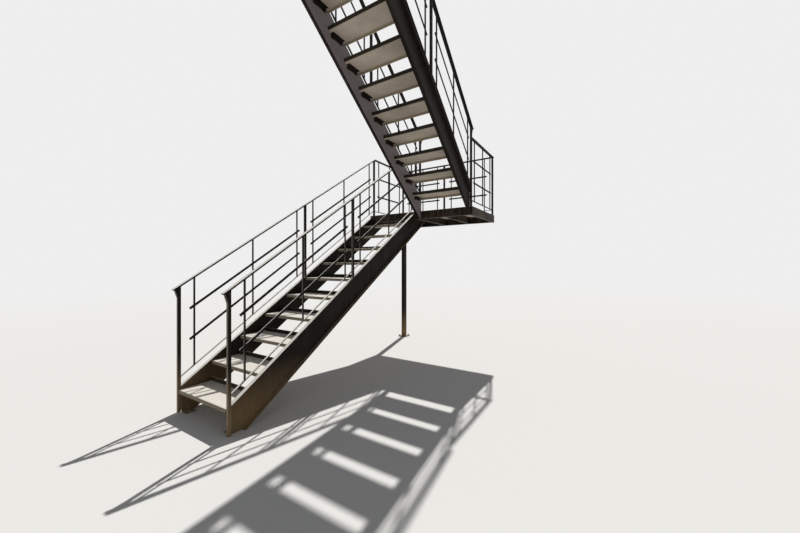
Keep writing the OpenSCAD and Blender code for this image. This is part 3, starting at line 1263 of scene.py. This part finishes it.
@dataclass
class TreadJoints:
    """Where a flight's treads and carrier angles are welded to the webs."""

    flight: Flight
    nose: float = 0.030
    lip: float = 0.038
    plate: float = 0.005
    bend: float = 0.006
    carrier_leg: float = 0.038
    carrier_inset: float = 0.036
    stitch: float = 0.045

    def runs(self) -> list[Run]:
        """Lists the joints.

        Returns:
            The joints.
        """
        flight = self.flight
        x = flight.half_w
        made = []
        for step in range(flight.treads):
            front = step * flight.run
            back = front + flight.run
            z = step * flight.rise
            under = z - self.plate - self.carrier_leg
            lines = [((front, z - self.nose), (front, z - self.bend)),
                     ((back, z + self.bend), (back, z + self.lip))]
            lines += [((start, under), (start + self.stitch, under))
                      for start in (front + self.carrier_inset, back - self.carrier_inset - self.stitch)]
            made += [(flight.at(side, x, *a), flight.at(side, x, *b)) for side in SIDES for a, b in lines]
        return made


@dataclass
class LandingJoints:
    """Where the landing's frame, post and flights meet."""

    plan: Plan
    mitre_start: float = 0.1

    def runs(self) -> list[Run]:
        """Lists the joints.

        Returns:
            The joints.
        """
        plan = self.plan
        at = plan.at
        made = []
        cx, cy = plan.post_centre
        half = plan.post_w / 2
        ring = [(cx + dx * half, cy + dy * half) for dx, dy in RING]
        for height in (plan.base_t, plan.landing_under):
            made += [(at(*ring[i - 1], height), at(*ring[i], height)) for i in (1, 2, 3, 0)]
        toe = plan.frame_flange
        for x, dx in ((plan.left, toe), (plan.right, -toe)):
            for y, dy in ((plan.front, toe), (plan.rear, -toe)):
                made.append((at(x + dx * self.mitre_start, y + dy * self.mitre_start, plan.landing_under),
                             at(x + dx, y + dy, plan.landing_under)))
        lower_top = plan.first_rise + plan.front * plan.lower.slope + plan.lower.stringer_up
        for flight, top in ((plan.lower, min(lower_top, plan.landing_top)), (plan.upper, plan.landing_top)):
            for side in SIDES:
                x = flight.nosing.x - plan.origin.x + side * flight.half_w
                made.append((at(x, plan.front, plan.landing_under), at(x, plan.front, top)))
        return made


@dataclass(frozen=True)
class HexFixing:
    """A hexagon nut or bolt head with its washer, modelled round +Z from the clamped face.

    The sinks say how far the washer, the nut and the crown reach into what they stand on.
    """

    thread: float = 0.012
    flats: float = 0.019
    nut: float = 0.010
    washer: float = 0.024
    washer_t: float = 0.0025
    thread_pitch: float = 0.00175
    thread_depth: float = 0.14
    stud: float = 0.0
    embed: float = 0.012
    sinks: tuple[float, float, float] = (0.0005, 0.0002, 0.001)
    washer_ease: float = 0.0004
    nut_ease: float = 0.0011
    crown: float = 0.44
    crown_t: float = 0.0006
    crown_ease: float = 0.0005
    round_sides: int = 24

    def disc(self, sides: int, radius: float, low: float, high: float, bevel: float) -> Piece:
        """Models a disc or prism with its upper edge chamfered.

        Args:
            sides: number of sides.
            radius: corner radius.
            low: height of its underside.
            high: height of its top.
            bevel: size of the chamfer.

        Returns:
            The piece.
        """
        Bench.clear()
        middle = (low + high) / 2
        bpy.ops.mesh.primitive_cylinder_add(vertices=sides, radius=radius, depth=high - low,
                                            location=(0, 0, middle))
        piece = Bench.settle(bpy.context.object)
        Bench.edit(piece, lambda place: place.z > middle)
        bpy.ops.mesh.bevel(offset=bevel, segments=2, affect="EDGES")
        Bench.done()
        return piece

    def threaded(self, low: float, high: float) -> Piece:
        """Models a threaded stud ring by ring.

        Args:
            low: height of its lower end.
            high: height of its top.

        Returns:
            The stud.
        """
        Bench.clear()
        bpy.ops.mesh.primitive_circle_add(vertices=self.round_sides // 2, radius=self.thread / 2,
                                          fill_type="NGON", location=(0, 0, low))
        stud = Bench.settle(bpy.context.object)
        Bench.edit(stud)
        step = self.thread_pitch / 2
        root = 1 - self.thread_depth
        for index in range(int((high - low) / step)):
            bpy.ops.mesh.extrude_region_move(TRANSFORM_OT_translate={"value": (0, 0, step)})
            grow = root if index % 2 == 0 else 1 / root
            bpy.ops.transform.resize(value=(grow, grow, 1), center_override=(0, 0, 0))
        Bench.close()
        return stud

    def build(self) -> Piece:
        """Models the fixing.

        Returns:
            The piece, to be copied.
        """
        top = self.washer_t + self.nut
        washer_sink, nut_sink, crown_sink = self.sinks
        parts = [
            self.disc(self.round_sides, self.washer / 2, -washer_sink, self.washer_t, self.washer_ease),
            self.disc(6, self.flats / math.sqrt(3), self.washer_t - nut_sink, top, self.nut_ease),
        ]
        if self.stud:
            parts.append(self.threaded(-self.embed, self.stud))
        else:
            parts.append(self.disc(self.round_sides, self.flats * self.crown, top - crown_sink,
                                   top + self.crown_t, self.crown_ease))
        return Bench.join(parts, "fixing")


@dataclass
class Fixings:
    """All bolts and anchors of the stair."""

    plan: Plan
    palette: Palette
    foot_nut: HexFixing = HexFixing(stud=0.055, embed=0.008)
    base_nut: HexFixing = HexFixing(stud=0.030, embed=0.010)
    frame_bolt: HexFixing = HexFixing(thread=0.016, flats=0.024, washer=0.030, washer_t=0.003)
    anchor_in: float = 0.0415
    clip_l: float = 0.080
    clip_t: float = 0.008
    base_bolts: float = 0.110
    side_y: float = 0.600
    side_z: float = 0.046
    end_bolts: float = 0.160
    stringer_d: float = 0.254

    def build(self) -> None:
        """Models the fixings and enters them in the table."""
        plan = self.plan
        x = plan.stair_w / 2 - self.anchor_in
        y = plan.lower_foot + self.clip_l / 2
        self.fix("foot_anchors", self.foot_nut, [plan.at(side * x, y, self.clip_t) for side in SIDES])

        cx, cy = plan.post_centre
        half = self.base_bolts / 2
        self.fix("post_base_anchors", self.base_nut,
                 [plan.at(cx + dx * half, cy + dy * half, plan.base_t) for dx in SIDES for dy in SIDES])

        x = plan.right - plan.frame_web
        y = (plan.front + plan.rear) / 2
        z = plan.landing_under + plan.frame_d / 2
        self.fix("landing_side_bolts", self.frame_bolt,
                 [plan.at(x, y + dy * self.side_y / 2, z + dz * self.side_z / 2)
                  for dy in SIDES for dz in SIDES],
                 Matrix.Rotation(-QUARTER, 4, "Y"))

        flight = plan.upper
        y = flight.treads * flight.run
        z = y * flight.slope + flight.stringer_up - self.stringer_d * math.hypot(1, flight.slope) / 2
        self.fix("top_end_bolts", self.frame_bolt,
                 [flight.at(side, flight.rail_x, y, z + dz * self.end_bolts / 2)
                  for side in SIDES for dz in SIDES],
                 Matrix.Rotation(-QUARTER, 4, "X"))

    def fix(self, name: str, fixing: HexFixing, places: list[Vector], turn: Matrix = Matrix()) -> None:
        """Copies a fixing to its places as one piece.

        Args:
            name: name of the joined piece.
            fixing: the fixing.
            places: places in the row frame.
            turn: turn of the fixing from +Z.
        """
        master = fixing.build()
        piece = Bench.join(Bench.copies(master, [Matrix.Translation(place) @ turn for place in places]), name)
        Bench.drop(master)
        self.palette.add(piece, Slot.ZINC)


@dataclass
class Studio:
    """Plain soft light, a pale floor and a pale background."""

    ground: float
    background: float = 0.86
    sky: float = 0.22
    sky_colour: Colour = (0.96, 0.98, 1.0)
    sun: float = 3.8
    sun_colour: Colour = (1.0, 0.97, 0.92)
    sun_angle: float = 0.8
    sun_side: tuple[float, float, float] = (-0.160, 0.557, 0.815)
    floor_tone: float = 0.70
    floor_rough: float = 0.9
    floor_sheen: float = 0.1
    floor_size: float = 80.0
    floor_fade: tuple[float, float] = (6.0, 16.0)

    def build(self) -> None:
        """Makes the world, the lamp and the floor."""
        scene = bpy.context.scene
        scene.view_settings.view_transform = "Standard"
        scene.world = bpy.data.worlds.new("studio")
        make = Nodes(scene.world)
        light = make.node("ShaderNodeBackground", color=(*self.sky_colour, 1), strength=self.sky)
        shown = make.node("ShaderNodeBackground", color=self.grey(self.background), strength=1.0)
        both = make.blend(make.seen(), light.outputs[0], shown.outputs[0])
        make.node("ShaderNodeOutputWorld", surface=both)

        lamp = bpy.data.lights.new("sun", "SUN")
        lamp.energy = self.sun
        lamp.angle = math.radians(self.sun_angle)
        lamp.color = self.sun_colour
        sun = bpy.data.objects.new("sun", lamp)
        scene.collection.objects.link(sun)
        sun.rotation_euler = Vector(self.sun_side).to_track_quat("Z", "Y").to_euler()
        self.floor()

    @staticmethod
    def grey(tone: float) -> tuple[float, float, float, float]:
        """Gives a neutral colour for a socket."""
        return tone, tone, tone, 1.0

    def floor(self) -> None:
        """Makes the floor, which fades into the background far from the stair."""
        Bench.clear()
        bpy.ops.mesh.primitive_plane_add(size=self.floor_size, location=(0, 0, self.ground))
        floor = Bench.settle(bpy.context.object)
        floor.name = "floor"
        material = bpy.data.materials.new("floor")
        make = Nodes(material)
        shader = make.node("ShaderNodeBsdfPrincipled", base_color=self.grey(self.floor_tone),
                           roughness=self.floor_rough, specular_ior_level=self.floor_sheen)
        glow = make.node("ShaderNodeEmission", color=self.grey(self.background))
        reach = make.tree.nodes.new("ShaderNodeVectorMath")
        reach.operation = "LENGTH"
        make.put(reach.inputs[0], make.node("ShaderNodeTexCoord").outputs["Object"])
        far = make.times(make.span(reach.outputs["Value"], *self.floor_fade), make.seen())
        make.node("ShaderNodeOutputMaterial", surface=make.blend(far, shader.outputs[0], glow.outputs[0]))
        floor.data.materials.append(material)


def dress_nodes(frame: dict, palette: Palette) -> None:
    """Gives every CAD node the finish of its slot.

    Args:
        palette: the finishes.
    """
    for name, node in frame["nodes"].items():
        if "tread" in name or name == "landing_floor":
            slot = Slot.TREAD
        elif "railing" in name:
            slot = Slot.RAIL
        elif "stringer" in name:
            slot = Slot.LOWER if name.startswith("lower") else Slot.UPPER
        elif name.startswith("landing") and "post" not in name:
            slot = Slot.LANDING
        else:
            slot = Slot.FRAME
        palette.dress(node, slot)
        log.info("%s wears %s", name, slot.value)


def main() -> None:
    """Builds the scene in order."""
    logging.basicConfig(level=logging.INFO, format="%(message)s")
    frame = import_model()
    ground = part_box("landing_post_base")[0].z
    tread_low, tread_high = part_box("lower_tread_01")
    origin = Vector(((tread_low.x + tread_high.x) / 2, tread_low.y, ground))
    plan = Plan(origin)

    palette = Palette(plan)
    palette.build()
    dress_nodes(frame, palette)

    stock = RailStock()
    post_beads = WeldBeads(radius=0.0035)
    rail_beads = WeldBeads(radius=0.0022, pitch=0.0032, sides=6)
    tread_beads = WeldBeads(radius=0.0040)
    frame_beads = WeldBeads(radius=0.0050)
    for name, flight in (("lower", plan.lower), ("upper", plan.upper)):
        railing = FlightRailing(flight, stock)
        master = railing.build()
        for side, hand in zip(SIDES, ("left", "right")):
            piece = railing.place(side, master, f"{name}_{hand}_bars")
            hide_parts(f"{name}_railing_{hand}")
            palette.add(piece, Slot.RAIL)
        Bench.drop(master)
        palette.add(post_beads.build(railing.post_runs(), f"{name}_post_welds"), Slot.RAIL)
        palette.add(rail_beads.build(railing.rail_runs(), f"{name}_rail_welds"), Slot.RAIL)
        palette.add(tread_beads.build(TreadJoints(flight).runs(), f"{name}_tread_welds"), Slot.FRAME)

    level = LandingRailing(plan, stock)
    railings = {
        "left": level.side(level.left_x, level.left_start, "landing_left_bars"),
        "right": level.side(level.right_x, level.right_start, "landing_right_bars"),
        "rear": level.rear("landing_rear_bars"),
    }
    for hand, piece in railings.items():
        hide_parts(f"landing_railing_{hand}")
        palette.add(piece, Slot.RAIL)
    palette.add(rail_beads.build(level.runs(), "landing_rail_welds"), Slot.RAIL)
    palette.add(frame_beads.build(LandingJoints(plan).runs(), "landing_welds"), Slot.FRAME)
    Fixings(plan, palette).build()

    Studio(ground).build()
    Viewpoint().build(origin)


if __name__ == "__main__":
    main()
